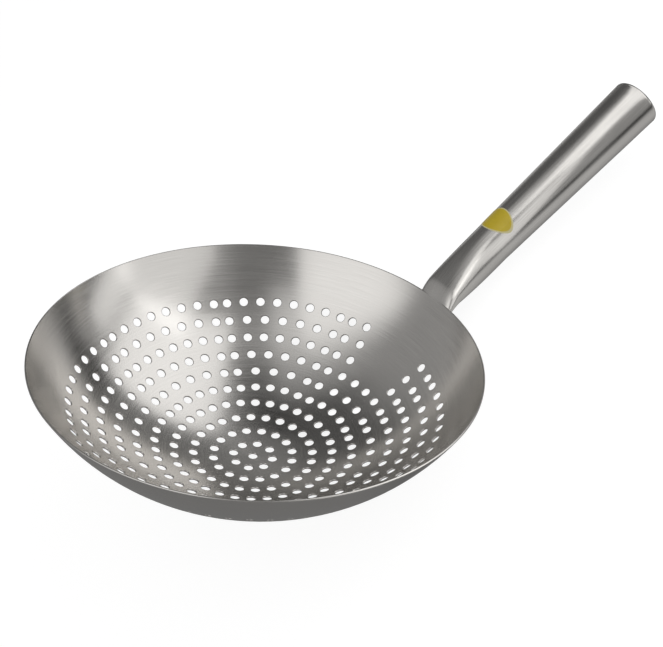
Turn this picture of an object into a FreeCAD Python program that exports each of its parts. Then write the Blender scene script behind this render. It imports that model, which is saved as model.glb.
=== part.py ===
import FreeCAD, Part
import math
import os

from FreeCAD import Placement, Rotation, Vector

# One-piece perforated skimmer, in millimetres. A round sheet is pressed to a shallow bowl and
# punched, and a tongue of the same sheet is rolled to a hollow handle that widens to its end.
# The bowl's own frame has its axis on Z, its rim at height 0 and the handle towards +X. The
# finished skimmer is then turned to lie as it comes to rest, on the round of its bowl.
#
# The bowl has hundreds of holes, so its curves are laid in narrow flats that touch the true
# curve at their middles: on a flat, the edges of a punched hole are straight and cost few
# facets. FLATS makes them finer.

SIZES = {
    "rim_radius": 120.0,
    "bowl_depth": 67.0,
    "bottom_radius": 216.0,
    "bottom_reach": 20.4,
    "sheet": 1.0,
    "hole_diameter": 5.0,
    "ring_pitch": 11.0,
    "sector_gap": 8.0,
    "row_crown": 1.0,
    "outer_turn": 0.8,
    "inner_turn": 3.2,
    "handle_rise": 32.4,
    "handle_length": 169.6,
    "neck_bend": 20.0,
    "neck_width": 26.0,
    "neck_height": 8.0,
    "neck_length": 50.0,
    "neck_diameter": 24.6,
    "neck_turn": 3.2,
    "neck_root": 14.0,
    "root_height": 2.4,
    "wing_turn": 2.0,
    "wing_length": 36.0,
    "end_diameter": 30.6,
    "lip_radius": 2.4,
    "lip_turn": 4.4,
    "sticker_length": 16.5,
    "sticker_width": 22.0,
    "sticker_place": 60.6,
    "sticker_turn": 8.0,
    "sticker_thickness": 0.2,
}

# flats round each field of the bowl and round the handle, and rows of flats along what bends
FLATS = {"middle": 20, "wall": 40, "handle": 24}
RIM_BANDS = 3
BEND_ROWS = 3
NECK_ROWS = 3
LIP_ROWS = 2
PUNCH_SIDES = 6
STICKER_SIDES = 16
SECTORS = 8
# holes in each ring of the middle field, and in each sector's row of the rings outside it
MIDDLE_RINGS = (8, 16, 24, 32)
SECTOR_ROWS = (5, 5, 6, 7, 7, 8)
# the rows that stop either side of the neck: ring number and holes left out of the handle's sector
NECK_GAPS = {8: 3, 9: 3, 10: 4}

doc = FreeCAD.newDocument("perforated_skimmer")
sheet = doc.addObject("Spreadsheet::Sheet", "sizes")
for row, (name, value) in enumerate(SIZES.items(), start=1):
    sheet.set(f"A{row}", name)
    sheet.set(f"B{row}", str(value))
    sheet.setAlias(f"B{row}", name)
doc.recompute()


def size(name):
    return float(getattr(sheet, name))


def feature(name, shape):
    item = doc.addObject("Part::Feature", name)
    item.Shape = shape
    return item


def boolean(kind, name, base, tool):
    item = doc.addObject(kind, name)
    item.Base = base
    item.Tool = tool
    return item


def along(slope):
    """The direction up a line of this slope, away from the bowl's axis."""
    return Vector(math.cos(slope), 0, math.sin(slope))


def down(slope):
    """The direction square to it, out through the sheet."""
    return Vector(math.sin(slope), 0, -math.cos(slope))


class Profile:
    """The bowl's inner line: a flatter bottom arc, and a tangent wall arc that ends at the rim."""

    def __init__(self):
        self.bottom = size("bottom_radius")
        self.bottom_centre = Vector(0, 0, self.bottom - size("bowl_depth"))
        self.joint = math.asin(size("bottom_reach") / self.bottom)
        joint_point = self.bottom_centre + down(self.joint) * self.bottom
        # an arc turns as far before its chord's own slope as after it
        chord = Vector(size("rim_radius"), 0, 0) - joint_point
        chord_slope = math.atan2(chord.z, chord.x)
        self.rim_slope = 2 * chord_slope - self.joint
        self.wall = chord.Length / (2 * math.sin(chord_slope - self.joint))
        self.wall_centre = joint_point - down(self.joint) * self.wall
        self.joint_run = self.bottom * self.joint
        self.rim_run = self.joint_run + self.wall * (self.rim_slope - self.joint)

    def slope(self, run):
        """The wall's slope at a distance along it from the middle of the bottom."""
        if run < self.joint_run:
            return run / self.bottom
        return self.joint + (run - self.joint_run) / self.wall

    def point(self, run, offset=0.0):
        """A point of the wall, moved outwards through the sheet by an offset."""
        if run < self.joint_run:
            return self.bottom_centre + down(self.slope(run)) * (self.bottom + offset)
        return self.wall_centre + down(self.slope(run)) * (self.wall + offset)


def triangle(a, b, c):
    return [Part.Face(Part.makePolygon([a, b, c, a]))]


def panel(a, b, c, d):
    """The face between four corners, as one flat, or as two where they don't lie in a plane."""
    normal = (b - a).cross(d - a)
    if abs((c - a).dot(normal)) < 1e-7 * normal.Length:
        return [Part.Face(Part.makePolygon([a, b, c, d, a]))]
    return triangle(a, b, c) + triangle(a, c, d)


def strip(first, second):
    """The faces between two closed rows of corners, the second as many or twice as many."""
    faces = []
    count = len(first)
    share = len(second) // count
    for number in range(count):
        a, b = first[number], first[(number + 1) % count]
        c, d = second[share * number], second[share * (number + 1) % len(second)]
        if share == 1:
            faces += panel(a, b, d, c)
        else:
            middle = second[share * number + 1]
            faces += panel(a, b, middle, c) + triangle(b, d, middle)
    return faces


def cap(corners):
    return [Part.Face(Part.makePolygon(corners + corners[:1]))]


def closed(faces):
    shell = Part.makeShell(faces)
    shell.sewShape()
    solid = Part.makeSolid(shell)
    if solid.Volume < 0:
        solid.reverse()
    return solid


def tube(rows):
    """The closed solid through rows of corners."""
    faces = cap(rows[0]) + cap(rows[-1])
    for first, second in zip(rows, rows[1:]):
        faces += strip(first, second)
    return closed(faces)


# The pressed bowl. Each band has a ring of holes at its middle, and the plain wall has a few more.
profile = Profile()
last_ring = len(MIDDLE_RINGS) + len(SECTOR_ROWS)
band_runs = [(ring + 0.5) * size("ring_pitch") for ring in range(last_ring + 1)]
plain = profile.rim_run - band_runs[-1]
band_runs += [band_runs[-1] + plain * (band + 1) / RIM_BANDS for band in range(RIM_BANDS)]


def bowl_corners(run, offset, count):
    """The corners of the flats at one run, out where neighbouring flats meet."""
    half = math.pi / count
    bulge = size("ring_pitch") ** 2 / (8 * profile.wall) if run < profile.rim_run else 0.0
    point = profile.point(run, offset + bulge)
    reach = point.x / math.cos(half)
    angles = [half * (2 * number - 1) for number in range(count)]
    return [Vector(reach * math.cos(a), reach * math.sin(a), point.z) for a in angles]


def bowl_rows(offset):
    """The rows of corners of the bowl's skin at an offset from its inside, bottom to rim."""
    rows = []
    for band, run in enumerate(band_runs):
        field = "middle" if band <= len(MIDDLE_RINGS) else "wall"
        rows.append(bowl_corners(run, offset, FLATS[field]))
    return rows


def bowl_skin(rows):
    faces = cap(rows[0])
    for first, second in zip(rows, rows[1:]):
        faces += strip(first, second)
    return faces


def pressed_bowl():
    inside, outside = bowl_rows(0.0), bowl_rows(size("sheet"))
    return closed(bowl_skin(inside) + bowl_skin(outside) + strip(inside[-1], outside[-1]))


def bowl_room():
    """What cuts back the neck's root: the bowl's hollow to mid-sheet, and the room above it."""
    middle = bowl_rows(size("sheet") / 2)
    # just above the rim the room draws in, so that it leaves the rim's own edge covered
    above = size("sheet") / 5
    scale = (size("rim_radius") - above / 2) / size("rim_radius")
    drawn_in = [
        Vector(corner.x * scale, corner.y * scale, above) for corner in bowl_rows(0.0)[-1]
    ]
    top = [Vector(corner.x, corner.y, size("neck_width")) for corner in drawn_in]
    return closed(bowl_skin(middle) + strip(middle[-1], drawn_in) + strip(drawn_in, top) + cap(top))


class HandleLine:
    """The handle's top line: it leaves the rim along the wall, bends to its rise and runs on."""

    def __init__(self):
        self.rise = math.radians(size("handle_rise"))
        self.bend = size("neck_bend")
        self.bend_end = self.bend * (profile.rim_slope - self.rise)
        self.end = self.bend_end + size("handle_length")
        self.rim = Vector(size("rim_radius"), 0, 0)
        self.centre = self.rim + down(profile.rim_slope) * self.bend

    def slope(self, place):
        turned = min(max(place, 0.0), self.bend_end) / self.bend
        return profile.rim_slope - turned

    def point(self, place):
        """A point of the line at a distance from the rim, less than 0 down the wall."""
        if place < 0:
            return self.rim + along(profile.rim_slope) * place
        straight = max(0.0, place - self.bend_end)
        slope = self.slope(place)
        return self.centre - down(slope) * self.bend + along(slope) * straight


# The rolled handle. At the rim its section is a flat channel, set a little to the handle's right,
# and it turns round and comes into line over the neck.
line = HandleLine()
taper = (size("end_diameter") - size("neck_diameter")) / (line.end - size("neck_length"))


def rounding(place):
    """How far the neck has turned round: 0 at the rim and 1 from the neck's end on."""
    share = min(max(place / size("neck_length"), 0.0), 1.0)
    return 1 - (1 - share) ** 2


def set_aside(place, corners):
    """Corners of the neck, turned about the bowl's axis to where the neck leaves the rim."""
    turn = Rotation(Vector(0, 0, 1), -size("neck_turn") * (1 - rounding(place)))
    return [turn.multVec(corner) for corner in corners]


def section(place, width, height, top, squareness=1.0):
    """Corners round the handle at a place; top is the depth of its top under the handle's line."""
    lower = down(line.slope(place))
    centre = line.point(place) + lower * (top + height / 2)
    corners = []
    for number in range(FLATS["handle"]):
        angle = 2 * math.pi * (number + 0.5) / FLATS["handle"]
        across, up = math.cos(angle), math.sin(angle)
        power = 1 / squareness if up > 0 else 1.0
        side = math.copysign(abs(across) ** power, across) * width / 2
        lift = math.copysign(abs(up) ** power, up) * height / 2
        corners.append(centre + Vector(0, side, 0) - lower * lift)
    return set_aside(place, corners)


def neck_height(place):
    if place < 0:
        shrink = -place / size("neck_root")
        return size("neck_height") + (size("root_height") - size("neck_height")) * shrink
    return size("neck_height") + (size("neck_diameter") - size("neck_height")) * rounding(place)


def neck_section(place, wall):
    """A section of the neck, less a wall all round."""
    share = rounding(place)
    width = size("neck_width") + (size("neck_diameter") - size("neck_width")) * share
    return section(place, width - 2 * wall, neck_height(place) - 2 * wall, wall, 2.0 - share)


def round_section(place, inset):
    """A section of the round handle, less an inset all round."""
    diameter = size("neck_diameter") + taper * (place - size("neck_length")) - 2 * inset
    return section(place, diameter, diameter, inset)


def neck_places():
    """Where the neck has its rows, from the rim to its end."""
    places = [line.bend_end * number / BEND_ROWS for number in range(BEND_ROWS + 1)]
    rest = size("neck_length") - line.bend_end
    return places + [line.bend_end + rest * (number + 1) / NECK_ROWS for number in range(NECK_ROWS)]


def handle_skin():
    lip = size("lip_radius")
    rows = [neck_section(place, 0.0) for place in [-size("neck_root")] + neck_places()]
    rows.append(round_section(line.end - lip, 0.0))
    # the corner of the lip is a quarter round
    for number in range(LIP_ROWS):
        angle = math.pi / 2 * (number + 1) / LIP_ROWS
        place = line.end - lip * (1 - math.sin(angle))
        rows.append(round_section(place, lip * (1 - math.cos(angle))))
    return tube(rows)


def handle_bore():
    wall = size("sheet")
    rows = [neck_section(place, wall) for place in [wall - size("neck_root")] + neck_places()]
    rows.append(round_section(line.end - size("lip_radius"), wall))
    rows.append(round_section(line.end - wall, size("lip_turn")))
    rows.append(round_section(line.end + wall, size("lip_turn")))
    return tube(rows)


def wing_gap():
    """The gap under the neck between the sheet's two wings, which meet at its point."""
    wall = size("sheet")
    wide = size("neck_width") - 2 * (wall + size("wing_turn"))
    rows = []
    for place in [-size("neck_root") - wall, 0.0] + neck_places()[1:-1]:
        share = min(1.0, max(0.0, place) / size("wing_length"))
        half = (wide + (wall - wide) * share) / 2
        rows.append(gap_row(place, half))
    return tube(rows)


def gap_row(place, half):
    lower = down(line.slope(place))
    height = neck_height(max(place, -size("neck_root")))
    upper_edge = line.point(place) + lower * (height / 2)
    lower_edge = line.point(place) + lower * (height + size("sheet"))
    side = Vector(0, half, 0)
    corners = [upper_edge - side, upper_edge + side, lower_edge + side, lower_edge - side]
    return set_aside(place, corners)


bowl = feature("pressed_bowl", pressed_bowl())
room = feature("bowl_room", bowl_room())
skin = feature("handle_skin", handle_skin())
bore = feature("handle_bore", handle_bore())
gap = feature("wing_gap", wing_gap())
hollow_handle = boolean("Part::Cut", "hollow_handle", skin, bore)
rolled_handle = boolean("Part::Cut", "rolled_handle", hollow_handle, gap)
root = boolean("Part::Cut", "handle_to_bowl", rolled_handle, room)
one_sheet = boolean("Part::Fuse", "one_sheet", bowl, root)


def punch(run, azimuth):
    """A punch square to the wall at a run, its corners set so that it has a round hole's area."""
    turn = 2 * math.pi / PUNCH_SIDES
    corner = size("hole_diameter") / 2 * math.sqrt(turn / math.sin(turn))
    reach = 2 * size("sheet")
    angles = [turn * (side % PUNCH_SIDES + 0.5) for side in range(PUNCH_SIDES + 1)]
    outline = [Vector(corner * math.cos(a), corner * math.sin(a), -reach) for a in angles]
    prism = Part.Face(Part.makePolygon(outline)).extrude(Vector(0, 0, 2 * reach))
    lean = Rotation(Vector(0, 1, 0), -math.degrees(profile.slope(run)))
    seat = Placement(profile.point(run, size("sheet") / 2), lean)
    prism.Placement = Placement(Vector(), Rotation(Vector(0, 0, 1), azimuth)) * seat
    return prism


def middle_field():
    punches = [punch(0, 0)]
    for ring, count in enumerate(MIDDLE_RINGS, start=1):
        for number in range(count):
            azimuth = 360 * number / count - size("inner_turn")
            punches.append(punch(ring * size("ring_pitch"), azimuth))
    return punches


def sector_rows():
    """The rings outside the middle field, a row to each sector, bowed outwards at its middle."""
    punches = []
    for ring, count in enumerate(SECTOR_ROWS, start=len(MIDDLE_RINGS) + 1):
        run = ring * size("ring_pitch")
        gap_angle = math.degrees(size("sector_gap") / profile.point(run).x)
        spread = 360 / SECTORS - gap_angle
        left_out = NECK_GAPS.get(ring, 0)
        for sector in range(SECTORS):
            for number in range(count):
                share = number / (count - 1) - 0.5
                if sector == 0 and abs(share) * (count - 1) < left_out / 2:
                    continue
                bow = size("row_crown") * (0.5 - 4 * share**2)
                azimuth = 360 / SECTORS * sector + spread * share - size("outer_turn")
                punches.append(punch(run + bow, azimuth))
    return punches


punches = feature("hole_punches", Part.makeCompound(middle_field() + sector_rows()))
skimmer = boolean("Part::Cut", "skimmer", one_sheet, punches)


# The sticker: what an oval punch keeps of a thin sleeve on the top of the handle.
def sticker_sleeve():
    reach, proud = size("sticker_length") / 2 + size("sheet"), size("sticker_thickness")
    places = [size("sticker_place") - reach, size("sticker_place") + reach]
    return tube([round_section(place, -proud) for place in places])


def sticker_outline():
    angles = [2 * math.pi * side / STICKER_SIDES for side in range(STICKER_SIDES)]
    length, width = size("sticker_length") / 2, size("sticker_width") / 2
    corners = [Vector(length * math.cos(a), width * math.sin(a), 0) for a in angles]
    return Part.Face(Part.makePolygon(corners + corners[:1]))


sleeve = feature("sticker_sleeve", sticker_sleeve())
layer = boolean("Part::Cut", "sticker_layer", sleeve, skin)
oval = feature("sticker_outline", sticker_outline())
axis_point = line.point(size("sticker_place")) + down(line.rise) * size("neck_diameter") / 2
up_the_handle = Rotation(Vector(0, 1, 0), -size("handle_rise"))
round_the_handle = Rotation(Vector(1, 0, 0), -size("sticker_turn"))
oval.Placement = Placement(axis_point, up_the_handle * round_the_handle)
cutter = doc.addObject("Part::Extrusion", "sticker_punch")
cutter.Base = oval
cutter.DirMode = "Normal"
cutter.Solid = True
cutter.setExpression("LengthFwd", "sizes.end_diameter")
sticker = boolean("Part::Common", "round_sticker", layer, cutter)
doc.recompute()

PIECES = {"skimmer": skimmer, "round_sticker": sticker}
for item in doc.Objects:
    if "Invalid" in item.State or "Error" in item.State:
        raise RuntimeError(f"{item.Name} didn't build")
for name, item in PIECES.items():
    if item.Shape.isNull() or not item.Shape.isValid() or len(item.Shape.Solids) != 1:
        raise RuntimeError(f"{name} isn't one sound solid")

# Left alone, the skimmer tips towards its handle until its mass is over the point that it
# stands on, and settles on the flat there.
mass_centre = skimmer.Shape.Solids[0].CenterOfMass
balance = math.atan2(mass_centre.x - profile.wall_centre.x, profile.wall_centre.z - mass_centre.z)
balance_run = profile.joint_run + profile.wall * (balance - profile.joint)
flat_run = round(balance_run / size("ring_pitch")) * size("ring_pitch")
lean = Rotation(Vector(0, 1, 0), math.degrees(profile.slope(flat_run)))
skimmer.Placement = Placement(Vector(), lean)
box = skimmer.Shape.BoundBox
shift = Vector(-(box.XMin + box.XMax) / 2, 0, -box.ZMin)
os.makedirs("parts", exist_ok=True)
for name, item in PIECES.items():
    item.Label = name
    item.Placement = Placement(shift, lean)
    item.Shape.exportStep(f"parts/{name}.step")
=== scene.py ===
# %% [markdown]
# A perforated skimmer: a shallow bowl and a hollow handle, both from one sheet of stainless
# steel. The solids arrive as a fixed frame. This script gives them their smooth skins, their
# round holes and their brushed finish, and lights them like a product photograph.

import math

import bmesh
import bpy
import numpy as np
from mathutils import Matrix, Vector


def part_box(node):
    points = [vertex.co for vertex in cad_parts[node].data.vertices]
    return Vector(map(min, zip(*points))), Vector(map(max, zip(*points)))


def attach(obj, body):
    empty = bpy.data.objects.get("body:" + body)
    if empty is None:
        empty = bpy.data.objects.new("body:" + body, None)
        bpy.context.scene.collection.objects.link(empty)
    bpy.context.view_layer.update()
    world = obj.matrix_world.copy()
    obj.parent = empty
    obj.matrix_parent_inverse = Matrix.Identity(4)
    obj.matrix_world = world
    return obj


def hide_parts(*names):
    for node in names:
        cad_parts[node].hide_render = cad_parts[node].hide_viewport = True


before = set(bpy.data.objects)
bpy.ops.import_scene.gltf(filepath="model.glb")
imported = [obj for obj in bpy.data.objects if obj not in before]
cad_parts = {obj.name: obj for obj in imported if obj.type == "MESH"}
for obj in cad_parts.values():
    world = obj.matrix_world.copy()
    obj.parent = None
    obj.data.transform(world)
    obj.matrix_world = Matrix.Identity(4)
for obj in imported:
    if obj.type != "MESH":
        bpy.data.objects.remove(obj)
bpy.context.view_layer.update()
MM = 0.001

# %% [markdown]
# The bowl's inner line is two tangent arcs: a flatter one under the middle, and the wall. It
# could be a curve drawn by eye, but these are the sizes that a press tool would be cut to, so
# every form of the bowl follows from them. A place on the line is given by its run, the
# distance along the line from the middle.

# %% The bowl's line
RIM_RADIUS, BOWL_DEPTH, SHEET = 120 * MM, 67 * MM, 1 * MM
BOTTOM_RADIUS, BOTTOM_REACH = 216 * MM, 20.4 * MM
RING_PITCH = 11 * MM
FLAT_RING = 6

bottom_height = BOTTOM_RADIUS - BOWL_DEPTH
joint_slope = math.asin(BOTTOM_REACH / BOTTOM_RADIUS)
joint_height = bottom_height - BOTTOM_RADIUS * math.cos(joint_slope)
chord = math.hypot(RIM_RADIUS - BOTTOM_REACH, joint_height)
chord_slope = math.atan2(-joint_height, RIM_RADIUS - BOTTOM_REACH)
rim_slope = 2 * chord_slope - joint_slope
wall_radius = chord / (2 * math.sin(chord_slope - joint_slope))
wall_reach = BOTTOM_REACH - wall_radius * math.sin(joint_slope)
wall_height = joint_height + wall_radius * math.cos(joint_slope)
joint_run = BOTTOM_RADIUS * joint_slope
rim_run = joint_run + wall_radius * (rim_slope - joint_slope)


def wall_slope(run):
    return np.where(run < joint_run, run / BOTTOM_RADIUS, joint_slope + (run - joint_run) / wall_radius)


def wall_point(run, depth=0.0):
    """Distance from the bowl's axis and height, at a run and a depth through the sheet."""
    slope = wall_slope(run)
    low = run < joint_run
    arc = np.where(low, BOTTOM_RADIUS, wall_radius) + depth
    reach = np.where(low, 0.0, wall_reach) + arc * np.sin(slope)
    height = np.where(low, bottom_height, wall_height) - arc * np.cos(slope)
    return reach, height


print("rim slope", round(math.degrees(rim_slope), 2), "wall radius in mm", round(wall_radius / MM, 1))

# %% [markdown]
# The skimmer lies tipped towards its handle, on the round of its bowl. Everything is made in
# the bowl's own frame, axis up and rim at height 0, and then turned and set down where the
# solids lie. The turn is the wall's slope at the ring of holes that it stands on, and the
# solids' box gives the place.

# %% How it lies
lean = float(wall_slope(FLAT_RING * RING_PITCH))
box_low = np.array(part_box("skimmer")[0])
far_rim = wall_point(rim_run, SHEET)
rest_x = box_low[0] + math.cos(lean) * float(far_rim[0]) - math.sin(lean) * float(far_rim[1])
centre_height = math.cos(lean) * wall_height - math.sin(lean) * wall_reach
rest_z = box_low[2] + wall_radius + SHEET - centre_height
TO_REST = Matrix.Translation((rest_x, 0, rest_z)) @ Matrix.Rotation(lean, 4, "Y")
print("lean", round(math.degrees(lean), 2), "shift in mm", round(rest_x / MM, 2), round(rest_z / MM, 2))


def link(mesh, name, material):
    piece = bpy.data.objects.new(name, mesh)
    bpy.context.scene.collection.objects.link(piece)
    if material is not None and not mesh.materials:
        mesh.materials.append(material)
    return piece


# %% [markdown]
# The holes come in rings a fixed pitch apart along the wall. The middle field has full rings;
# outside it each ring is cut into eight sectors, whose rows bow outwards at their middles. The
# rows beside the neck stop short of it.

# %% Where the holes are
SECTORS = 8
MIDDLE_RINGS = (8, 16, 24, 32)
SECTOR_ROWS = (5, 5, 6, 7, 7, 8)
NECK_GAPS = {8: 3, 9: 3, 10: 4}
SECTOR_GAP, ROW_CROWN = 8 * MM, 1 * MM
INNER_TURN, OUTER_TURN = math.radians(3.2), math.radians(0.8)


def hole_places():
    """The ring, run and azimuth of each hole."""
    places = [(0, 0.0, 0.0)]
    for ring, count in enumerate(MIDDLE_RINGS, start=1):
        for number in range(count):
            places.append((ring, ring * RING_PITCH, 2 * math.pi * number / count - INNER_TURN))
    for ring, count in enumerate(SECTOR_ROWS, start=len(MIDDLE_RINGS) + 1):
        run = ring * RING_PITCH
        spread = 2 * math.pi / SECTORS - SECTOR_GAP / float(wall_point(run)[0])
        for sector in range(SECTORS):
            for number in range(count):
                share = number / (count - 1) - 0.5
                if sector == 0 and abs(share) * (count - 1) < NECK_GAPS.get(ring, 0) / 2:
                    continue
                bow = ROW_CROWN * (0.5 - 4 * share**2)
                azimuth = 2 * math.pi / SECTORS * sector + spread * share - OUTER_TURN
                places.append((ring, run + bow, azimuth))
    return places


holes = hole_places()
print(len(holes), "holes")

# %% [markdown]
# The real bowl is punched as a flat blank and then pressed. The nodes below do the same. A
# boolean of 375 punches would leave ragged shading on a mirror-like sheet, so the blank is
# filled between its outlines, band by band, each hole gets a lining with rounded edges, and
# one Set Position presses the whole flat sheet to the bowl's line.

# %% The blank's points
BAND_POINTS = 180
HOLE_POINTS = 24
HOLE_RADIUS, HOLE_EDGE, RIM_EDGE = 2.5 * MM, 0.3 * MM, 0.32 * MM
RIM_BANDS = 6

last_ring = len(MIDDLE_RINGS) + len(SECTOR_ROWS)
band_edges = [(ring + 0.5) * RING_PITCH for ring in range(last_ring + 1)]
plain = rim_run - RIM_EDGE - band_edges[-1]
band_edges += [band_edges[-1] + plain * (number + 1) / RIM_BANDS for number in range(RIM_BANDS)]


def blank_points():
    """A point for each hole and two for each band's outline, with what the nodes need of them."""
    rows = []
    for ring, run, azimuth in holes:
        stretch = run / float(wall_point(run)[0]) if run > 0 else 1.0
        rows.append((run * math.cos(azimuth), run * math.sin(azimuth), ring, azimuth, stretch, 0.0))
    for band, edge in enumerate(band_edges):
        rows.append((0, 0, band, 0, 1.0, edge))
        if band + 1 < len(band_edges):
            rows.append((0, 0, band + 1, 0, 1.0, edge))
    mesh = bpy.data.meshes.new("blank_points")
    mesh.from_pydata([(row[0], row[1], 0) for row in rows], [], [])
    columns = (("band", "INT", 2), ("azimuth", "FLOAT", 3), ("stretch", "FLOAT", 4), ("edge", "FLOAT", 5))
    for name, kind, column in columns:
        layer = mesh.attributes.new(name, kind, "POINT")
        layer.data.foreach_set("value", [row[column] for row in rows])
    return mesh


blank = link(blank_points(), "bowl_blank", None)
print(len(blank.data.vertices), "points,", len(band_edges), "bands")

# %% [markdown]
# Building a node tree in a script is easier with a few small helpers: one adds a node and
# fills its inputs, one does arithmetic. An input is either a number or another node's output.

# %% Helpers for node trees
class Tree:
    """A node tree under construction."""

    def __init__(self, tree):
        self.tree = tree

    def add(self, kind, inputs=None, **settings):
        node = self.tree.nodes.new(kind)
        for name, value in settings.items():
            setattr(node, name, value)
        for key, value in (inputs or {}).items():
            self.feed(node.inputs[key], value)
        return node

    def feed(self, socket, value):
        if isinstance(value, bpy.types.NodeSocket):
            self.tree.links.new(value, socket)
        else:
            socket.default_value = value

    def math(self, operation, *values):
        node = self.add("ShaderNodeMath", dict(enumerate(values)), operation=operation)
        return node.outputs[0]

    def vector(self, x, y, z):
        return self.add("ShaderNodeCombineXYZ", {"X": x, "Y": y, "Z": z}).outputs[0]

    def split(self, vector):
        return self.add("ShaderNodeSeparateXYZ", {"Vector": vector}).outputs

    def either(self, first, second, choose_second):
        """first where choose_second is 0, second where it is 1."""
        part = self.math("MULTIPLY", self.math("SUBTRACT", second, first), choose_second)
        return self.math("ADD", first, part)


def named(tree, name, kind="FLOAT"):
    return tree.add("GeometryNodeInputNamedAttribute", {"Name": name}, data_type=kind).outputs[0]


print("helpers:", [name for name in vars(Tree) if not name.startswith("_")])

# %% [markdown]
# The press is the bowl's line again, this time as nodes, so that the modifier can move every
# point of the flat sheet in one go. A point's distance from the middle of the blank becomes
# its run along the bowl's line, and its height becomes its depth through the sheet. The other
# function makes a flat sheet's rounded edge, for the holes and for the rim.

# %% The pressing nodes
SMALLEST_RUN = 1e-9
EDGE_POWER = 4.0


def node_group(name, inputs):
    group = bpy.data.node_groups.new(name, "GeometryNodeTree")
    group.interface.new_socket("Geometry", in_out="INPUT", socket_type="NodeSocketGeometry")
    group.interface.new_socket("Geometry", in_out="OUTPUT", socket_type="NodeSocketGeometry")
    for label, (kind, value) in inputs.items():
        socket = group.interface.new_socket(label, in_out="INPUT", socket_type=kind)
        if value is not None:
            socket.default_value = value
    return group


def press(tree, geometry, sizes):
    """Moves the flat blank's points to the bowl's line: x, y to a run and azimuth, z to a depth."""
    x, y, z = tree.split(tree.add("GeometryNodeInputPosition").outputs[0])
    squares = tree.math("ADD", tree.math("MULTIPLY", x, x), tree.math("MULTIPLY", y, y))
    run = tree.math("MAXIMUM", tree.math("SQRT", squares), SMALLEST_RUN)
    on_wall = tree.math("GREATER_THAN", run, sizes["Joint Run"])
    low_slope = tree.math("DIVIDE", run, sizes["Bottom Radius"])
    past = tree.math("SUBTRACT", run, sizes["Joint Run"])
    high_slope = tree.math("ADD", sizes["Joint Slope"], tree.math("DIVIDE", past, sizes["Wall Radius"]))
    slope = tree.either(low_slope, high_slope, on_wall)
    arc = tree.math("SUBTRACT", tree.either(sizes["Bottom Radius"], sizes["Wall Radius"], on_wall), z)
    along_arc = tree.math("MULTIPLY", arc, tree.math("SINE", slope))
    reach = tree.math("ADD", tree.math("MULTIPLY", sizes["Wall Reach"], on_wall), along_arc)
    top = tree.either(sizes["Bottom Height"], sizes["Wall Height"], on_wall)
    height = tree.math("SUBTRACT", top, tree.math("MULTIPLY", arc, tree.math("COSINE", slope)))
    scale = tree.math("DIVIDE", reach, run)
    place = tree.vector(tree.math("MULTIPLY", x, scale), tree.math("MULTIPLY", y, scale), height)
    return tree.add("GeometryNodeSetPosition", {"Geometry": geometry, "Position": place}).outputs[0]


def lining(tree, points, radius, flare, sheet, rows, outwards):
    """A flat sheet's edge, round a hole (outwards 1) or round the blank (outwards -1)."""
    grid = tree.add("GeometryNodeMeshGrid", {
        "Size X": 1.0, "Size Y": 1.0, "Vertices X": points + 1, "Vertices Y": rows})
    x, y, _ = tree.split(tree.add("GeometryNodeInputPosition").outputs[0])
    angle = tree.math("MULTIPLY", x, 2 * math.pi)
    through = tree.math("SINE", tree.math("MULTIPLY", y, math.pi))
    curl = tree.math("MULTIPLY", flare, tree.math("POWER", tree.math("ABSOLUTE", through), EDGE_POWER))
    reach = tree.math("ADD", radius, tree.math("MULTIPLY", curl, float(outwards)))
    depth = tree.math("MULTIPLY", tree.math("SUBTRACT", through, 1.0), tree.math("DIVIDE", sheet, 2.0))
    round_x = tree.math("MULTIPLY", reach, tree.math("COSINE", angle))
    round_y = tree.math("MULTIPLY", reach, tree.math("SINE", angle))
    place = tree.vector(round_x, round_y, depth)
    shaped = tree.add("GeometryNodeSetPosition", {"Geometry": grid.outputs["Mesh"], "Position": place})
    return shaped.outputs[0]


print("the flat blank is", round(2 * rim_run / MM, 1), "mm across before the press")

# %% [markdown]
# Now the sheet itself. Each hole's outline is a small circle put on its point, and each band
# of the blank lies between two large circles. Fill Curve fills a band round its holes, and a
# second skin lies a sheet's thickness below. The linings and the rim close the two skins, and
# Merge by Distance welds them before the press.

# %% The punched and pressed bowl
LINING_ROWS, RIM_ROWS, WELD = 7, 9, 2e-6


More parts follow.
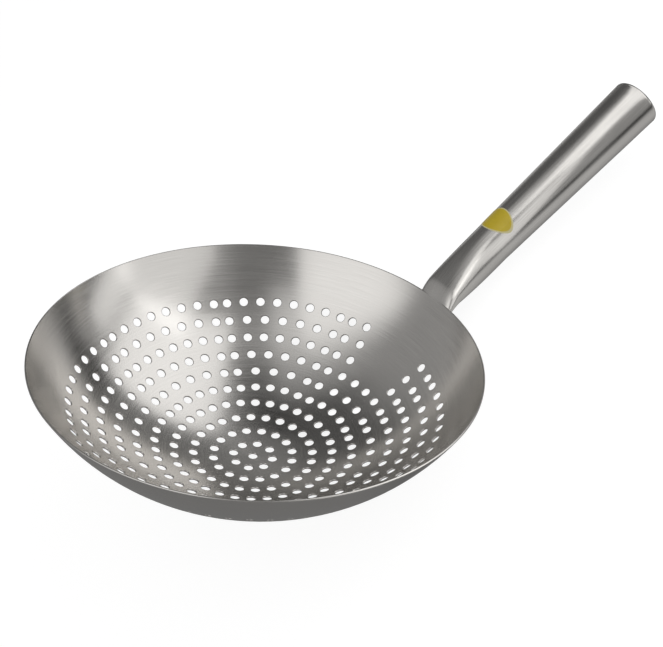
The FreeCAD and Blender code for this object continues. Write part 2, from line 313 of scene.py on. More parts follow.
def punched_and_pressed():
    """The bowl's node tree, with the sheet's sizes as its inputs."""
    inputs = {
        "Hole Radius": ("NodeSocketFloat", HOLE_RADIUS),
        "Hole Edge": ("NodeSocketFloat", HOLE_EDGE),
        "Rim Edge": ("NodeSocketFloat", RIM_EDGE),
        "Sheet": ("NodeSocketFloat", SHEET),
        "Rim Run": ("NodeSocketFloat", rim_run),
        "Joint Run": ("NodeSocketFloat", joint_run),
        "Joint Slope": ("NodeSocketFloat", joint_slope),
        "Bottom Radius": ("NodeSocketFloat", BOTTOM_RADIUS),
        "Bottom Height": ("NodeSocketFloat", bottom_height),
        "Wall Radius": ("NodeSocketFloat", wall_radius),
        "Wall Reach": ("NodeSocketFloat", wall_reach),
        "Wall Height": ("NodeSocketFloat", wall_height),
        "Steel": ("NodeSocketMaterial", None),
    }
    group = node_group("punched_and_pressed", inputs)
    tree = Tree(group)
    sizes = tree.add("NodeGroupInput").outputs
    points = sizes["Geometry"]
    is_band = tree.math("GREATER_THAN", named(tree, "edge"), 0.0)
    is_hole = tree.math("SUBTRACT", 1.0, is_band)
    turn = tree.vector(0.0, 0.0, named(tree, "azimuth"))
    stretch = tree.vector(1.0, named(tree, "stretch"), 1.0)
    # the outlines of the holes, at the skin where their edges have opened out, and of the bands
    open_radius = tree.math("ADD", sizes["Hole Radius"], sizes["Hole Edge"])
    hole_line = tree.add("GeometryNodeCurvePrimitiveCircle", {
        "Resolution": HOLE_POINTS, "Radius": open_radius})
    hole_lines = tree.add("GeometryNodeInstanceOnPoints", {
        "Points": points, "Selection": is_hole, "Instance": hole_line.outputs[0],
        "Rotation": turn, "Scale": stretch})
    band_line = tree.add("GeometryNodeCurvePrimitiveCircle", {
        "Resolution": BAND_POINTS, "Radius": 1.0})
    edge = named(tree, "edge")
    band_lines = tree.add("GeometryNodeInstanceOnPoints", {
        "Points": points, "Selection": is_band, "Instance": band_line.outputs[0],
        "Scale": tree.vector(edge, edge, 1.0)})
    outlines = tree.add("GeometryNodeJoinGeometry")
    for lines in (hole_lines, band_lines):
        tree.tree.links.new(lines.outputs[0], outlines.inputs[0])
    flat = tree.add("GeometryNodeRealizeInstances", {"Geometry": outlines.outputs[0]})
    band = named(tree, "band", "INT")
    fill = tree.add("GeometryNodeFillCurve", {
        "Curve": flat.outputs[0], "Group ID": band}, mode="TRIANGLES")
    # two skins a sheet apart, the linings between them, and the rim
    flipped = tree.add("GeometryNodeFlipFaces", {"Mesh": fill.outputs[0]}).outputs[0]
    below = tree.vector(0.0, 0.0, tree.math("MULTIPLY", sizes["Sheet"], -1.0))
    lower = tree.add("GeometryNodeTransform", {"Geometry": flipped, "Translation": below})
    hole_sizes = sizes["Hole Radius"], sizes["Hole Edge"], sizes["Sheet"]
    one_lining = lining(tree, HOLE_POINTS, *hole_sizes, LINING_ROWS, 1)
    linings = tree.add("GeometryNodeInstanceOnPoints", {
        "Points": points, "Selection": is_hole, "Instance": one_lining,
        "Rotation": turn, "Scale": stretch})
    rim_sizes = sizes["Rim Run"], sizes["Rim Edge"], sizes["Sheet"]
    rim = lining(tree, BAND_POINTS, *rim_sizes, RIM_ROWS, -1)
    rim = tree.add("GeometryNodeFlipFaces", {"Mesh": rim}).outputs[0]
    whole = tree.add("GeometryNodeJoinGeometry")
    for part in (fill.outputs[0], lower.outputs[0], linings.outputs[0], rim):
        tree.tree.links.new(part, whole.inputs[0])
    real = tree.add("GeometryNodeRealizeInstances", {"Geometry": whole.outputs[0]})
    welded = tree.add("GeometryNodeMergeByDistance", {
        "Geometry": real.outputs[0], "Distance": WELD})
    pressed = press(tree, welded.outputs[0], sizes)
    steel = tree.add("GeometryNodeSetMaterial", {"Geometry": pressed, "Material": sizes["Steel"]})
    tree.add("NodeGroupOutput", {"Geometry": steel.outputs[0]})
    return group


def run_nodes(piece, group, values):
    """Runs a tree on a piece and returns its result as a plain mesh."""
    modifier = piece.modifiers.new(group.name, "NODES")
    modifier.node_group = group
    for item in group.interface.items_tree:
        if item.in_out == "INPUT" and item.name in values:
            modifier[item.identifier] = values[item.name]
    graph = bpy.context.evaluated_depsgraph_get()
    mesh = bpy.data.meshes.new_from_object(piece.evaluated_get(graph), depsgraph=graph)
    piece.modifiers.remove(modifier)
    return mesh


steel = bpy.data.materials.new("brushed_bowl_steel")
steel.use_nodes = True
bowl_mesh = run_nodes(blank, punched_and_pressed(), {"Steel": steel})
bpy.data.objects.remove(blank)
print("the bowl has", len(bowl_mesh.vertices), "points and", len(bowl_mesh.polygons), "faces")

# %% [markdown]
# A smooth shell shades by its points' normals. Between the holes the fill has long thin
# triangles, and their averaged normals would wobble in the reflections, so the skins get the
# true normals of the bowl's line. The brush marks need a map as well: across it runs round
# the bowl, up it runs from the middle to the rim.

# %% True normals and the brush map
SKIN_TOLERANCE = 2e-3 * MM


def meridian(points):
    """Azimuth, slope, run and depth through the sheet of points in the bowl's own frame."""
    x, y, z = points.T
    reach = np.hypot(x, y)
    low = np.arctan2(reach, bottom_height - z) < joint_slope
    centre_reach = np.where(low, 0.0, wall_reach)
    centre_height = np.where(low, bottom_height, wall_height)
    radius = np.where(low, BOTTOM_RADIUS, wall_radius)
    slope = np.arctan2(reach - centre_reach, centre_height - z)
    depth = np.hypot(reach - centre_reach, centre_height - z) - radius
    run = np.where(low, slope * BOTTOM_RADIUS, joint_run + (slope - joint_slope) * wall_radius)
    return np.arctan2(y, x), slope, run, depth


def read_points(mesh):
    points = np.empty(len(mesh.vertices) * 3)
    mesh.vertices.foreach_get("co", points)
    return points.reshape(-1, 3)


def write_brush_map(mesh, across, up):
    """A UV map from two values a point; across wraps round at 1."""
    corners = np.empty(len(mesh.loops), dtype=np.int32)
    mesh.loops.foreach_get("vertex_index", corners)
    u, v = across[corners].copy(), up[corners]
    starts = np.empty(len(mesh.polygons), dtype=np.int32)
    mesh.polygons.foreach_get("loop_start", starts)
    widest = np.maximum.reduceat(u, starts) - np.minimum.reduceat(u, starts)
    face = np.repeat(np.arange(len(starts)), np.diff(np.append(starts, len(corners))))
    u[(widest[face] > 0.5) & (u < 0.5)] += 1.0
    layer = mesh.uv_layers.new(name="brush")
    layer.data.foreach_set("uv", np.column_stack([u, v]).ravel())


azimuth, slope, run, depth = meridian(read_points(bowl_mesh))
write_brush_map(bowl_mesh, azimuth / (2 * math.pi) + 0.5, run / rim_run)
bowl_mesh.shade_smooth()
normals = np.empty(len(bowl_mesh.vertices) * 3)
bowl_mesh.vertices.foreach_get("normal", normals)
normals = normals.reshape(-1, 3)
steep = np.sin(slope)
outward = np.column_stack([steep * np.cos(azimuth), steep * np.sin(azimuth), -np.cos(slope)])
plain_run = rim_run - RIM_EDGE + SKIN_TOLERANCE
inner_skin = (np.abs(depth) < SKIN_TOLERANCE) & (run < plain_run)
outer_skin = (np.abs(depth - SHEET) < SKIN_TOLERANCE) & (run < plain_run)
normals[inner_skin] = -outward[inner_skin]
normals[outer_skin] = outward[outer_skin]
bowl_mesh.normals_split_custom_set_from_vertices(normals.tolist())
bowl = link(bowl_mesh, "bowl_sheet", steel)
bowl_mesh.transform(TO_REST)
print(int(inner_skin.sum()), "points inside,", int(outer_skin.sum()), "outside")

# %% [markdown]
# The handle is a tongue of the same sheet. It leaves the rim along the wall, bends down to its
# own rise, and its two wings curl under until they meet in a seam. So it is drawn as the sheet
# is: a row of points from one wing's edge over the top to the other's, twice, for the outer
# and the inner skin, at many places along the handle.

# %% The handle's line and sections
HANDLE_RISE, HANDLE_LENGTH = math.radians(32.4), 169.57 * MM
NECK_BEND, NECK_LENGTH, NECK_DIAMETER = 20 * MM, 50 * MM, 24.6 * MM
NECK_TURN = math.radians(3.2)
NECK_WIDTH, NECK_HEIGHT, NECK_ROOT, ROOT_HEIGHT = 26 * MM, 8 * MM, 14 * MM, 2.4 * MM
WING_TURN, WING_LENGTH, SEAM = 2 * MM, 36 * MM, 0.05 * MM
END_DIAMETER, LIP_RADIUS, LIP_TURN = 30.6 * MM, 2.4 * MM, 4.4 * MM
EDGE_ROUND = 0.3 * MM
HUG_LENGTH, OVERLAP, PROUD = 10 * MM, 3 * MM, 0.02 * MM
SQUARED, ROUND = 4.0, 2.0

bend_end = NECK_BEND * (rim_slope - HANDLE_RISE)
handle_end = bend_end + HANDLE_LENGTH
taper = (END_DIAMETER - NECK_DIAMETER) / (handle_end - NECK_LENGTH)


def handle_line(place):
    """Distance from the axis, height and slope of the handle's top line; below 0 on the wall."""
    if place < 0:
        reach, height = wall_point(rim_run + place)
        return float(reach), float(height), float(wall_slope(rim_run + place))
    slope = rim_slope - min(place, bend_end) / NECK_BEND
    straight = max(0.0, place - bend_end)
    reach = RIM_RADIUS + NECK_BEND * (math.sin(rim_slope) - math.sin(slope)) + straight * math.cos(slope)
    height = NECK_BEND * (math.cos(slope) - math.cos(rim_slope)) + straight * math.sin(slope)
    return reach, height, slope


def rounding(place):
    """How far the neck has turned round: 0 at the rim and 1 from its end on."""
    return 1 - (1 - min(1.0, max(0.0, place) / NECK_LENGTH)) ** 2


def handle_shape(place):
    """Width, height, and the power that squares the top, of the handle's section."""
    turned = rounding(place)
    if place < 0:
        height = NECK_HEIGHT + (ROOT_HEIGHT - NECK_HEIGHT) * -place / NECK_ROOT
        return NECK_WIDTH, height, SQUARED
    if place < NECK_LENGTH:
        width = NECK_WIDTH + (NECK_DIAMETER - NECK_WIDTH) * turned
        height = NECK_HEIGHT + (NECK_DIAMETER - NECK_HEIGHT) * turned
        return width, height, SQUARED + (ROUND - SQUARED) * turned
    diameter = NECK_DIAMETER + taper * (place - NECK_LENGTH)
    return diameter, diameter, ROUND


def wing_angle(place):
    """How far from the top the sheet's edge lies round the section."""
    wide = NECK_WIDTH - 2 * (SHEET + WING_TURN)
    share = min(1.0, max(0.0, place) / WING_LENGTH)
    half_gap = (wide + (SEAM - wide) * share) / 2 + EDGE_ROUND
    return math.pi - math.asin(min(1.0, 2 * half_gap / handle_shape(place)[0]))


def around(place, inset, angles):
    """Points round the handle at a place, an inset inside its outer skin."""
    reach, height, slope = handle_line(place)
    width, tall, power = handle_shape(place)
    hidden = -PROUD if -OVERLAP <= place <= 0 else (SHEET / 2 if place < 0 else 0.0)
    powers = np.where(np.cos(angles) > 0, power, ROUND)
    across, up = np.sin(angles), np.cos(angles)
    radius = (np.abs(across) ** powers + np.abs(up) ** powers) ** (-1 / powers)
    y = radius * across * (width / 2 - inset)
    depth = tall / 2 + hidden - radius * up * (tall / 2 - inset)
    # near the rim the section hugs the bowl's round wall
    hug = max(0.0, 1 - max(0.0, place) / HUG_LENGTH) ** 2
    x = reach + depth * math.sin(slope) - hug * (reach - np.sqrt(reach**2 - y**2))
    # the neck leaves the rim a little to the right of the handle's own line
    turn = -NECK_TURN * (1 - rounding(place))
    turned_x = x * math.cos(turn) - y * math.sin(turn)
    turned_y = x * math.sin(turn) + y * math.cos(turn)
    return np.column_stack([turned_x, turned_y, height - depth * math.cos(slope)])


print("the handle is", round(handle_end / MM, 1), "mm long from the rim")

# %% [markdown]
# A Solidify modifier would thicken a single skin, but not by the same amount at a tight lip,
# and it would leave sharp edges. So both skins are drawn here, joined by small round edges,
# as one closed loop for each place along the handle. Rows of faces then join the loops. The
# last rows turn in at the mouth, which is how a sheet's raw end is made safe to hold.

# %% The rolled sheet
AROUND, EDGE_POINTS = 96, 3
BEND_ROWS, NECK_ROWS, TUBE_ROWS, LIP_ROWS = 15, 18, 24, 9
SIDE_STEP, ROOT_STEP = 0.01, 0.01 * MM
HANDLE_CORNER = math.radians(40)


def sheet_loop(outer, inner, turn):
    """One closed loop round the sheet's section: outer skin, edge, inner skin, edge."""
    angles = np.linspace(-turn, turn, AROUND)
    skins = [around(place, inset, angles) for place, inset in (outer, inner)]
    beyond_edges = np.array([-turn - SIDE_STEP, turn + SIDE_STEP])
    beyond = [around(place, inset, beyond_edges) for place, inset in (outer, inner)]
    edges = []
    for side, index in ((1, -1), (0, 0)):
        middle = (skins[0][index] + skins[1][index]) / 2
        away = (beyond[0][side] + beyond[1][side]) / 2 - middle
        away = away / np.linalg.norm(away) * EDGE_ROUND
        steps = np.linspace(0, math.pi, EDGE_POINTS + 2)[1:-1]
        if side == 0:
            steps = steps[::-1]
        half = skins[0][index] - middle
        edges.append([middle + half * math.cos(step) + away * math.sin(step) for step in steps])
    return np.vstack([skins[0], edges[0], skins[1][::-1], edges[1]])


def sheet_rows():
    """Where the outer and the inner skin have their rows: a place and an inset each."""
    places = [-NECK_ROOT, -0.75 * NECK_ROOT, -0.5 * NECK_ROOT]
    places += [-OVERLAP - ROOT_STEP, -OVERLAP, -OVERLAP / 2, 0.0]
    places += list(np.linspace(0, bend_end, BEND_ROWS)[1:])
    places += list(np.linspace(bend_end, NECK_LENGTH, NECK_ROWS)[1:])
    places += list(np.linspace(NECK_LENGTH, handle_end - LIP_RADIUS, TUBE_ROWS)[1:])
    rows = [((place, 0.0), (place, SHEET)) for place in places]
    inner_radius = LIP_RADIUS - SHEET
    for angle in np.linspace(0, math.pi / 2, LIP_ROWS)[1:]:
        base = handle_end - LIP_RADIUS
        outer = (base + LIP_RADIUS * math.sin(angle), LIP_RADIUS * (1 - math.cos(angle)))
        inner = (base + inner_radius * math.sin(angle), SHEET + inner_radius * (1 - math.cos(angle)))
        rows.append((outer, inner))
    # the lip's own edge is rounded in three steps: how far back, and how far from full depth
    soft = EDGE_ROUND / 2
    for back, short in ((0.0, EDGE_ROUND), (soft / 3, soft / 2), (soft, 0.0)):
        depth = LIP_TURN - short
        rows.append(((handle_end - back, depth), (handle_end - SHEET + back, depth)))
    return rows


def rolled_sheet():
    """The handle's mesh: the loops joined by rows of faces, and closed at both ends."""
    rows = [sheet_loop(outer, inner, wing_angle(outer[0])) for outer, inner in sheet_rows()]
    count = len(rows[0])
    faces = []
    for row in range(len(rows) - 1):
        for number in range(count):
            a, b = row * count + number, row * count + (number + 1) % count
            faces.append((a, b, b + count, a + count))
    for row in (0, len(rows) - 1):
        start = row * count
        inner_last = AROUND + EDGE_POINTS + AROUND - 1
        for number in range(AROUND - 1):
            facing = start + inner_last - number
            faces.append((start + number, start + number + 1, facing - 1, facing))
        first_edge = range(AROUND - 1, AROUND + EDGE_POINTS + 1)
        second_edge = range(inner_last, inner_last + EDGE_POINTS + 2)
        for edge in (first_edge, second_edge):
            faces.append(tuple(start + number % count for number in edge))
    mesh = bpy.data.meshes.new("handle_sheet")
    mesh.from_pydata(np.vstack(rows).tolist(), [], faces)
    return mesh


def outward_faces(mesh):
    """Turns every face of a closed mesh outwards."""
    work = bmesh.new()
    work.from_mesh(mesh)
    bmesh.ops.recalc_face_normals(work, faces=work.faces)
    open_edges = sum(not edge.is_manifold for edge in work.edges)
    work.to_mesh(mesh)
    work.free()
    return open_edges


handle_mesh = rolled_sheet()
open_edges = outward_faces(handle_mesh)
handle_mesh.shade_smooth()
handle_mesh.set_sharp_from_angle(angle=HANDLE_CORNER)
per_row = 2 * (AROUND + EDGE_POINTS)
row_places = np.array([outer[0] for outer, inner in sheet_rows()])
skin_turns = np.linspace(0, 1, AROUND)
edge_turns = np.ones(EDGE_POINTS)
turns = np.concatenate([skin_turns, edge_turns, skin_turns[::-1], 0 * edge_turns])
write_brush_map(handle_mesh, np.repeat(row_places / handle_end, per_row), np.tile(turns, len(row_places)))
handle_steel = bpy.data.materials.new("brushed_handle_steel")
handle_steel.use_nodes = True
handle = link(handle_mesh, "handle_sheet", handle_steel)
handle_mesh.transform(TO_REST)
print("the handle has", len(handle_mesh.polygons), "faces and", open_edges, "open edges")

# %% [markdown]
# The camera is where the photographer's was. Fitting the rim and the rings of holes gave its
# height and distance in rim radii, and the handle's azimuth; the lens follows from the width
# in pixels of one rim radius at that distance.

# %% The camera
PHOTO_WIDTH, PHOTO_HEIGHT = 663, 647
CAMERA_RISE, CAMERA_ROLL, HANDLE_AZIMUTH = math.radians(32.14), math.radians(4.43), math.radians(40.4)
CAMERA_DISTANCE = 6.25
RIM_CENTRE_PIXEL = (257.50, 355.06)
RADIUS_PIXELS = 226.87


def camera_pose():
    """The camera's matrix in the bowl's own frame, with the handle along +X."""
    ahead = Vector((0, math.cos(CAMERA_RISE), -math.sin(CAMERA_RISE)))
    right = Vector((1, 0, 0))
    up = right.cross(ahead)
    turn = Matrix.Rotation(-CAMERA_ROLL, 3, ahead)
    right, up = turn @ right, turn @ up
    focal = RADIUS_PIXELS * CAMERA_DISTANCE
    aside = (RIM_CENTRE_PIXEL[0] - PHOTO_WIDTH / 2) / focal * CAMERA_DISTANCE
    above = -(RIM_CENTRE_PIXEL[1] - PHOTO_HEIGHT / 2) / focal * CAMERA_DISTANCE
    place = -(right * aside + up * above + ahead * CAMERA_DISTANCE) * RIM_RADIUS
    pose = Matrix((right, up, -ahead)).transposed().to_4x4()
    pose.translation = place
    return Matrix.Rotation(-HANDLE_AZIMUTH, 4, "Z") @ pose, focal


pose, focal = camera_pose()
lens = bpy.data.cameras.new("photo_camera")
lens.lens = lens.sensor_width * focal / PHOTO_WIDTH
camera = bpy.data.objects.new("photo_camera", lens)
bpy.context.scene.collection.objects.link(camera)
camera.matrix_world = TO_REST @ pose
bpy.context.scene.camera = camera
camera_place = camera.matrix_world.translation
print("lens", round(lens.lens, 1), "camera at", [round(value, 3) for value in camera_place])

# %% [markdown]
# The sticker on the handle is a thin film, wrapped round the tube. A patch of yellow in the
# steel's own shader would be simpler, but a film has a thickness and an edge that catches the
# light. It is laid as a disc of rings, each point set on the handle's own surface, so the film
# follows the taper.

# %% The sticker
STICKER_PLACE, STICKER_TURN = 60.6 * MM, math.radians(8)
STICKER_LENGTH, STICKER_WIDTH, FILM = 16.5 * MM, 22 * MM, 0.12 * MM
STICKER_RINGS, STICKER_POINTS = 14, 56
FILM_SKINS, FILM_CORNER = (FILM, -SHEET / 4), math.radians(60)


def film_point(share, angle, proud):
    """A point of the film, at a share of its outline's size."""
    place = STICKER_PLACE + STICKER_LENGTH / 2 * share * math.cos(angle)
    across = STICKER_WIDTH / 2 * share * math.sin(angle)
    turn = STICKER_TURN + math.asin(2 * across / handle_shape(place)[0])
    return around(place, -proud, np.array([turn]))[0]


def sticker_film():
    """The film's mesh, and where each of its points lies in the film's outline."""
    points, shares = [], []
    outwards = range(1, STICKER_RINGS + 1)
    for proud, rings in zip(FILM_SKINS, (outwards, reversed(outwards))):
        for ring in rings:
            share = ring / STICKER_RINGS
            for number in range(STICKER_POINTS):
                angle = 2 * math.pi * number / STICKER_POINTS
                points.append(film_point(share, angle, proud))
                shares.append((share * math.cos(angle), share * math.sin(angle)))
    faces = []
    for ring in range(2 * STICKER_RINGS - 1):
        for number in range(STICKER_POINTS):
            a = ring * STICKER_POINTS + number
            b = ring * STICKER_POINTS + (number + 1) % STICKER_POINTS
            faces.append((a, b, b + STICKER_POINTS, a + STICKER_POINTS))
    for proud, first in zip(FILM_SKINS, (0, (2 * STICKER_RINGS - 1) * STICKER_POINTS)):
        middle = len(points)
        points.append(film_point(0, 0, proud))
        shares.append((0, 0))
        for number in range(STICKER_POINTS):
            faces.append((middle, first + number, first + (number + 1) % STICKER_POINTS))
    mesh = bpy.data.meshes.new("sticker_film")
    mesh.from_pydata([tuple(point) for point in points], [], faces)
    return mesh, np.array(shares)


sticker_mesh, film_shares = sticker_film()
print("the film has", outward_faces(sticker_mesh), "open edges")
film_map = sticker_mesh.uv_layers.new(name="film")
corners = np.empty(len(sticker_mesh.loops), dtype=np.int32)
sticker_mesh.loops.foreach_get("vertex_index", corners)
film_map.data.foreach_set("uv", film_shares[corners].ravel())
sticker_mesh.shade_smooth()
sticker_mesh.set_sharp_from_angle(angle=FILM_CORNER)
film_material = bpy.data.materials.new("yellow_film")
film_material.use_nodes = True
sticker = link(sticker_mesh, "sticker_film", film_material)
sticker_mesh.transform(TO_REST)

# %% [markdown]
# The film is glossy yellow paper with a pale cut edge. How far a point lies from the middle of
# the disc is in its map, so the edge follows the outline.

# %% The film's colour
DEEP_YELLOW, PALE_YELLOW = (0.50, 0.37, 0.012, 1), (0.60, 0.46, 0.022, 1)
CUT_EDGE, EDGE_BEGINS, EDGE_ENDS = (0.62, 0.57, 0.30, 1), 0.90, 0.94
BLOTCH_SCALE, FILM_ROUGHNESS, FILM_GLOSS = 180.0, 0.32, 0.25
tree = Tree(film_material.node_tree)
shader = film_material.node_tree.nodes["Principled BSDF"]
film_uv = tree.add("ShaderNodeUVMap", uv_map="film").outputs[0]
from_middle = tree.add("ShaderNodeVectorMath", {0: film_uv}, operation="LENGTH").outputs["Value"]
edge = tree.add("ShaderNodeMapRange", {
    "Value": from_middle, "From Min": EDGE_BEGINS, "From Max": EDGE_ENDS}).outputs[0]
place = tree.add("ShaderNodeTexCoord").outputs["Object"]
blotch = tree.add("ShaderNodeTexNoise", {
    "Vector": place, "Scale": BLOTCH_SCALE, "Detail": 3.0}).outputs["Fac"]
yellow = tree.add("ShaderNodeMix", {
    "Factor": blotch, "A": DEEP_YELLOW, "B": PALE_YELLOW}, data_type="RGBA").outputs["Result"]
colour = tree.add("ShaderNodeMix", {
    "Factor": edge, "A": yellow, "B": CUT_EDGE}, data_type="RGBA").outputs["Result"]
tree.feed(shader.inputs["Base Color"], colour)
shader.inputs["Roughness"].default_value = FILM_ROUGHNESS
shader.inputs["Coat Weight"].default_value = FILM_GLOSS
print("the film is", STICKER_LENGTH / MM, "by", STICKER_WIDTH / MM, "mm and glossy")

# %% [markdown]
# Brushed steel is a metal with very fine parallel scratches. Seen from afar they spread each
# reflection across themselves, which the shader's anisotropy gives, and close up they show as
# faint lines. So one noise is stretched along the brush lines, for the roughness, the tone and
# a very shallow bump. Round the bowl the lines are circles, and along the handle they are straight.

# %% The lines of the brush
LINE_LENGTH, LINE_WIDTH = 30 * MM, 0.25 * MM


def circling(tree):
    """Noise coordinates on the bowl's map: slow round the bowl and quick across the lines."""
    u, v, _ = tree.split(tree.add("ShaderNodeUVMap", uv_map="brush").outputs[0])
    angle = tree.math("MULTIPLY", u, 2 * math.pi)
    turns = RIM_RADIUS / LINE_LENGTH
    x = tree.math("MULTIPLY", tree.math("COSINE", angle), turns)
    y = tree.math("MULTIPLY", tree.math("SINE", angle), turns)
    return tree.vector(x, y, tree.math("MULTIPLY", v, rim_run / LINE_WIDTH))


def lengthwise(tree):
    """Noise coordinates on the handle's map: slow along it and quick round it."""
    u, v, _ = tree.split(tree.add("ShaderNodeUVMap", uv_map="brush").outputs[0])
    along = tree.math("MULTIPLY", u, handle_end / LINE_LENGTH)
    return tree.vector(along, tree.math("MULTIPLY", v, math.pi * END_DIAMETER / LINE_WIDTH), 0.0)


print("brush lines are", LINE_LENGTH / MM, "mm long and", LINE_WIDTH / MM, "mm wide")

# %% [markdown]
# One function dresses both pieces, because they are one sheet. The lines and some broad soft
# patches set the roughness and the tone together, as wear does, and the lines with a fine grain
# make the bump. The bowl's tone varies in a wider range than the handle's, which looks plainer.

# %% The brushed steel
DARK_STEEL, PALE_STEEL = (0.655, 0.635, 0.608, 1), (0.785, 0.765, 0.735, 1)
SMOOTHEST, ROUGHEST, USUAL_NOISE = 0.16, 0.27, (0.3, 0.7)
GRAIN_SCALE, PATCH_SCALE = 900.0, 22.0
STREAK_SHARE, PATCH_SHARE = 0.7, 0.3
BUMP_STRENGTH, BUMP_DEPTH = 0.35, 0.02 * MM
ACROSS_LINES, LINES_TURN = 0.4, 0.25


def noise(tree, place, scale, detail):
    texture = tree.add("ShaderNodeTexNoise", {"Vector": place, "Scale": scale, "Detail": detail})
    return texture.outputs["Fac"]


def brush(material, lines, spread):
    """Makes a material of brushed steel; the tone's spread is how soft its contrast is."""
    tree = Tree(material.node_tree)
    shader = material.node_tree.nodes["Principled BSDF"]
    place = tree.add("ShaderNodeTexCoord").outputs["Object"]
    streaks = noise(tree, lines(tree), 1.0, 3.0)
    grain = noise(tree, place, GRAIN_SCALE, 2.0)
    patches = noise(tree, place, PATCH_SCALE, 3.0)
    streak_part = tree.math("MULTIPLY", streaks, STREAK_SHARE)
    mixed = tree.math("ADD", streak_part, tree.math("MULTIPLY", patches, PATCH_SHARE))
    rough = tree.add("ShaderNodeMapRange", {
        "Value": mixed, "From Min": USUAL_NOISE[0], "From Max": USUAL_NOISE[1],
        "To Min": SMOOTHEST, "To Max": ROUGHEST})
    tree.feed(shader.inputs["Roughness"], rough.outputs[0])
    tone = tree.add("ShaderNodeMapRange", {
        "Value": mixed, "From Min": 0.5 - spread, "From Max": 0.5 + spread}).outputs[0]
    steel_tone = tree.add("ShaderNodeMix", {
        "Factor": tone, "A": DARK_STEEL, "B": PALE_STEEL}, data_type="RGBA")
    tree.feed(shader.inputs["Base Color"], steel_tone.outputs["Result"])
    relief = tree.math("ADD", tree.math("MULTIPLY", streaks, 0.5), tree.math("MULTIPLY", grain, 0.5))
    bump = tree.add("ShaderNodeBump", {
        "Strength": BUMP_STRENGTH, "Distance": BUMP_DEPTH, "Height": relief})
    tree.feed(shader.inputs["Normal"], bump.outputs[0])
    tangent = tree.add("ShaderNodeTangent", direction_type="UV_MAP", uv_map="brush")
    tree.feed(shader.inputs["Tangent"], tangent.outputs[0])
    shader.inputs["Metallic"].default_value = 1.0
    shader.inputs["Anisotropic"].default_value = ACROSS_LINES
    shader.inputs["Anisotropic Rotation"].default_value = LINES_TURN


brush(steel, circling, spread=0.20)
brush(handle_steel, lengthwise, spread=0.09)
print("bowl and handle are brushed steel, roughness", SMOOTHEST, "to", ROUGHEST)

# %% [markdown]
# The light is a plain white studio. A bowl of polished steel shows its whole surroundings, so
# they matter as much as the steel: what stands far off on the left and the right, the gap where
# the camera stands, and the dim walls behind the handle. All of these are far away, so the world
# can be shaded by direction alone. One angle runs over the bowl, from the camera's side (0) past
# the zenith (90) to the back (180), and the other leans from that arch to the left or the right.

# %% The directions of the studio
STUDIO_TURN = TO_REST.to_3x3() @ Matrix.Rotation(-HANDLE_AZIMUTH, 3, "Z")
ARCH_AZIMUTH = math.radians(6)


def studio_direction(lean_right, over):
    """A direction of the studio from its two angles, in degrees."""
    lean_right, over = math.radians(lean_right), math.radians(over)
    on_arch = math.cos(lean_right)
    arch = Vector((math.sin(lean_right), -on_arch * math.cos(over), on_arch * math.sin(over)))
    return STUDIO_TURN @ Matrix.Rotation(ARCH_AZIMUTH, 3, "Z") @ arch


def dot(tree, direction, axis):
    product = tree.add("ShaderNodeVectorMath", {0: direction, 1: axis}, operation="DOT_PRODUCT")
    return product.outputs["Value"]


def smooth(tree, value, low, high):
    """0 below one number, 1 above another, and a soft step between them."""
    step = tree.add("ShaderNodeMapRange", {
        "Value": value, "From Min": low, "From Max": high}, interpolation_type="SMOOTHSTEP")
    return step.outputs[0]


def window(tree, angle, span):
    """1 inside a span of degrees: where it begins and ends, and how softly each."""
    low, high, soft_low, soft_high = (math.radians(value) for value in span)
    opened = smooth(tree, angle, low - soft_low, low + soft_low)
    shut = smooth(tree, angle, high - soft_high, high + soft_high)
    return tree.math("MULTIPLY", opened, tree.math("SUBTRACT", 1.0, shut))


print("the zenith lies at", [round(value, 2) for value in studio_direction(0, 90)])

# %% [markdown]
# The image of a real room could light the steel, but its shapes would fall where they happen to.
# Soft-edged patches are enough, and each can be moved until its reflection lies where it should.
# Each patch is a span of both angles, and what it adds to the dim walls or takes from them. Only
# mirror rays meet the patches. All other light is even, and the camera sees plain white.

# %% The studio's walls
DIM_WALLS, BELOW_FLOOR, SOFT_LIGHT = 0.30, 0.12, 0.55
DARKEST, HORIZON = 0.02, (-0.30, -0.12)
PATCHES = {
    "far right": ((60, 120, 5, 5), (40, 118, 10, 6), 0.65),
    "left softbox": ((-72, -19, 12, 1.5), (15, 86, 15, 16), 0.72),
    "its far corner": ((-19, -6, 1.5, 5), (49, 88, 4, 16), 0.38),
    "camera": ((-19, 12, 1.5, 6), (-20, 60, 5, 10), -0.12),
    "gap behind": ((-34, -2, 12, 6), (110, 168, 7, 14), -0.22),
    "gap overhead": ((-6, 10, 4, 4), (88, 133, 8, 4), -0.20),
    "gap on the right": ((43, 72, 5, 6), (133, 160, 4, 8), -0.30),
    "gap behind the handle": ((4, 43, 5, 5), (136, 156, 3, 6), -0.15),
    "dark foot behind": ((-70, -20, 8, 8), (168, 200, 5, 5), -0.18),
    "low gap": ((2, 22, 4, 6), (152, 170, 6, 6), -0.20),
}


def studio_level(tree):
    """How bright the studio is in each direction."""
    direction = tree.add("ShaderNodeTexCoord").outputs["Generated"]
    right = dot(tree, direction, studio_direction(90, 0))
    camera_side = dot(tree, direction, studio_direction(0, 0))
    high = dot(tree, direction, studio_direction(0, 90))
    lean_right = tree.math("ARCSINE", right)
    over = tree.math("ARCTAN2", high, camera_side)
    level = DIM_WALLS
    for across, along, amount in PATCHES.values():
        patch = tree.math("MULTIPLY", window(tree, lean_right, across), window(tree, over, along))
        level = tree.math("ADD", level, tree.math("MULTIPLY", patch, amount))
    above = smooth(tree, dot(tree, direction, Vector((0, 0, 1))), *HORIZON)
    return tree.either(BELOW_FLOOR, tree.math("MAXIMUM", level, DARKEST), above)


